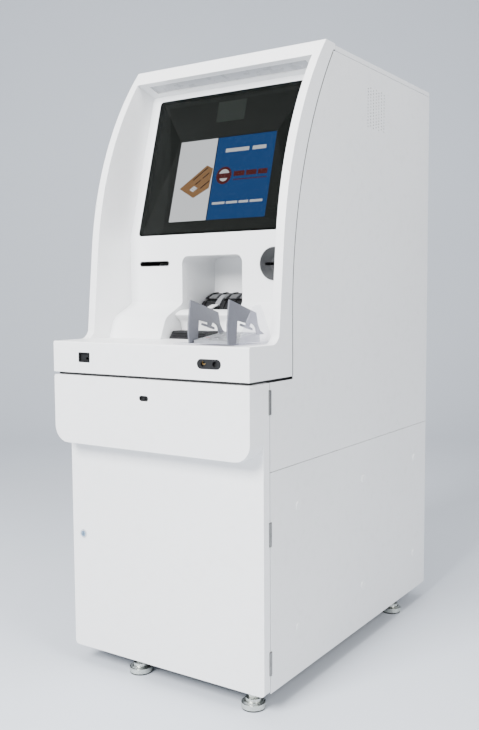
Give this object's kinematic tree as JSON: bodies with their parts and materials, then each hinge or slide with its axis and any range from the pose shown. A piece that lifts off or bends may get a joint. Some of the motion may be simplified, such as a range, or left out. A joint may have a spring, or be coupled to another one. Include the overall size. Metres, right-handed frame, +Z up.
{
  "type": "cash machine",
  "caption": "Free-standing white steel cash machine with a leaning recessed screen under a visor, a card and a receipt slot, a cash bay, a guarded keypad and a hinged lower door.",
  "frame": {"origin": "on the floor, under the middle of the overall width and depth", "axes": "+X to the user's right, +Y from the user's side to the back, +Z up"},
  "size_m": [0.595, 1.02, 1.582],
  "materials": {
    "white_side": "satin",
    "white_front": "satin",
    "white_panel": "satin",
    "grey_steel": "satin",
    "zinc": "satin",
    "hinge_steel": "satin",
    "black_steel": "satin",
    "foot_rubber": "matte",
    "plug_white": "satin",
    "cassette_plastic": "matte",
    "module_steel": "satin",
    "black_plastic": "satin",
    "fan_plastic": "matte",
    "chrome": "polished",
    "glass": "gloss",
    "lcd": "gloss",
    "light_cover": "gloss",
    "bezel_dark": "satin",
    "keypad_metal": "satin",
    "guard_grey": "satin",
    "clear_plastic": "gloss",
    "paper": "matte",
    "shutter_dark": "gloss"
  },
  "bodies": {
    "cabinet": {"base_plate": "grey_steel", "lower_side_left": "white_side", "lower_side_right": "white_side", "upper_side_left": "white_side", "upper_side_right": "white_side", "rear_panel": "white_side", "top_cover": "white_side", "mid_deck": "grey_steel", "front_frame": "black_steel", "side_plugs": "plug_white", "foot_pads": "foot_rubber", "foot_stems": "zinc", "cassette_rack": "grey_steel", "cash_cassettes": "cassette_plastic", "note_transport": "module_steel", "pc_case": "module_steel", "power_supply": "module_steel", "fan_frame": "fan_plastic", "power_inlet": "black_plastic", "hinge_pins": "hinge_steel", "cabinet_hinges": "hinge_steel"},
    "lower_door": {"door_panel": "white_front", "door_bump": "white_front", "door_hinges": "hinge_steel", "lock_body": "chrome", "key_plate": "black_plastic"},
    "door_lock": {"lock_barrel": "chrome"},
    "fascia": {"fascia_shell": "white_front", "fascia_panel": "white_panel", "display_glass": "glass", "display_module": "black_plastic", "display_screen": "lcd", "visor_light": "light_cover", "card_bezel": "bezel_dark", "card_reader": "module_steel", "receipt_bezel": "bezel_dark", "receipt_printer": "module_steel", "cash_bay": "white_panel", "note_guide": "black_plastic", "cash_lip": "white_front", "clear_guard": "clear_plastic", "guard_plates": "guard_grey", "keypad_body": "keypad_metal", "socket_plates": "black_plastic"},
    "fan_rotor": {"fan_rotor": "fan_plastic"},
    "power_switch": {"power_switch": "black_plastic"},
    "note_shutter": {"note_shutter": "shutter_dark"},
    "paper_roll": {"paper_roll": "paper"},
    "key_1": {"key_1": "keypad_metal"},
    "key_2": {"key_2": "keypad_metal"},
    "key_3": {"key_3": "keypad_metal"},
    "key_4": {"key_4": "keypad_metal"},
    "key_5": {"key_5": "keypad_metal"},
    "key_6": {"key_6": "keypad_metal"},
    "key_7": {"key_7": "keypad_metal"},
    "key_8": {"key_8": "keypad_metal"},
    "key_9": {"key_9": "keypad_metal"},
    "key_left": {"key_left": "keypad_metal"},
    "key_0": {"key_0": "keypad_metal"},
    "key_right": {"key_right": "keypad_metal"}
  },
  "joints": [
    {"name": "door_open", "type": "hinge", "parent": "cabinet", "child": "lower_door", "pos_m": [0.2935, -0.427, 0.4], "axis": [0, 0, 1], "range_deg": [0, 100]},
    {"name": "lock_turn", "type": "hinge", "parent": "lower_door", "child": "door_lock", "pos_m": [-0.257, -0.454, 0.352], "axis": [0, 1, 0], "range_deg": [0, 90]},
    {"name": "fascia_open", "type": "hinge", "parent": "cabinet", "child": "fascia", "pos_m": [-0.2935, -0.324, 1], "axis": [0, 0, -1], "range_deg": [0, 95]},
    {"name": "shutter_lift", "type": "slide", "parent": "fascia", "child": "note_shutter", "axis": [0, 0, 1], "range_m": [0, 0.01]},
    {"name": "paper_feed", "type": "hinge", "parent": "fascia", "child": "paper_roll", "pos_m": [-0.188, -0.134, 1.044], "axis": [1, 0, 0], "continuous": true},
    {"name": "fan_spin", "type": "hinge", "parent": "cabinet", "child": "fan_rotor", "pos_m": [0.144, 0.495, 0.83575], "axis": [0, 1, 0], "continuous": true},
    {"name": "switch_rock", "type": "hinge", "parent": "cabinet", "child": "power_switch", "pos_m": [-0.1675, 0.502, 0.63575], "axis": [1, 0, 0], "range_deg": [-8, 8]},
    {"name": "key_1_press", "type": "slide", "parent": "fascia", "child": "key_1", "axis": [0, 0.1132, -0.9936], "range_m": [0, 0.002], "stiffness_N_per_m": 400},
    {"name": "key_2_press", "type": "slide", "parent": "fascia", "child": "key_2", "axis": [0, 0.1132, -0.9936], "range_m": [0, 0.002], "stiffness_N_per_m": 400},
    {"name": "key_3_press", "type": "slide", "parent": "fascia", "child": "key_3", "axis": [0, 0.1132, -0.9936], "range_m": [0, 0.002], "stiffness_N_per_m": 400},
    {"name": "key_4_press", "type": "slide", "parent": "fascia", "child": "key_4", "axis": [0, 0.1132, -0.9936], "range_m": [0, 0.002], "stiffness_N_per_m": 400},
    {"name": "key_5_press", "type": "slide", "parent": "fascia", "child": "key_5", "axis": [0, 0.1132, -0.9936], "range_m": [0, 0.002], "stiffness_N_per_m": 400},
    {"name": "key_6_press", "type": "slide", "parent": "fascia", "child": "key_6", "axis": [0, 0.1132, -0.9936], "range_m": [0, 0.002], "stiffness_N_per_m": 400},
    {"name": "key_7_press", "type": "slide", "parent": "fascia", "child": "key_7", "axis": [0, 0.1132, -0.9936], "range_m": [0, 0.002], "stiffness_N_per_m": 400},
    {"name": "key_8_press", "type": "slide", "parent": "fascia", "child": "key_8", "axis": [0, 0.1132, -0.9936], "range_m": [0, 0.002], "stiffness_N_per_m": 400},
    {"name": "key_9_press", "type": "slide", "parent": "fascia", "child": "key_9", "axis": [0, 0.1132, -0.9936], "range_m": [0, 0.002], "stiffness_N_per_m": 400},
    {"name": "key_left_press", "type": "slide", "parent": "fascia", "child": "key_left", "axis": [0, 0.1132, -0.9936], "range_m": [0, 0.002], "stiffness_N_per_m": 400},
    {"name": "key_0_press", "type": "slide", "parent": "fascia", "child": "key_0", "axis": [0, 0.1132, -0.9936], "range_m": [0, 0.002], "stiffness_N_per_m": 400},
    {"name": "key_right_press", "type": "slide", "parent": "fascia", "child": "key_right", "axis": [0, 0.1132, -0.9936], "range_m": [0, 0.002], "stiffness_N_per_m": 400}
  ]
}
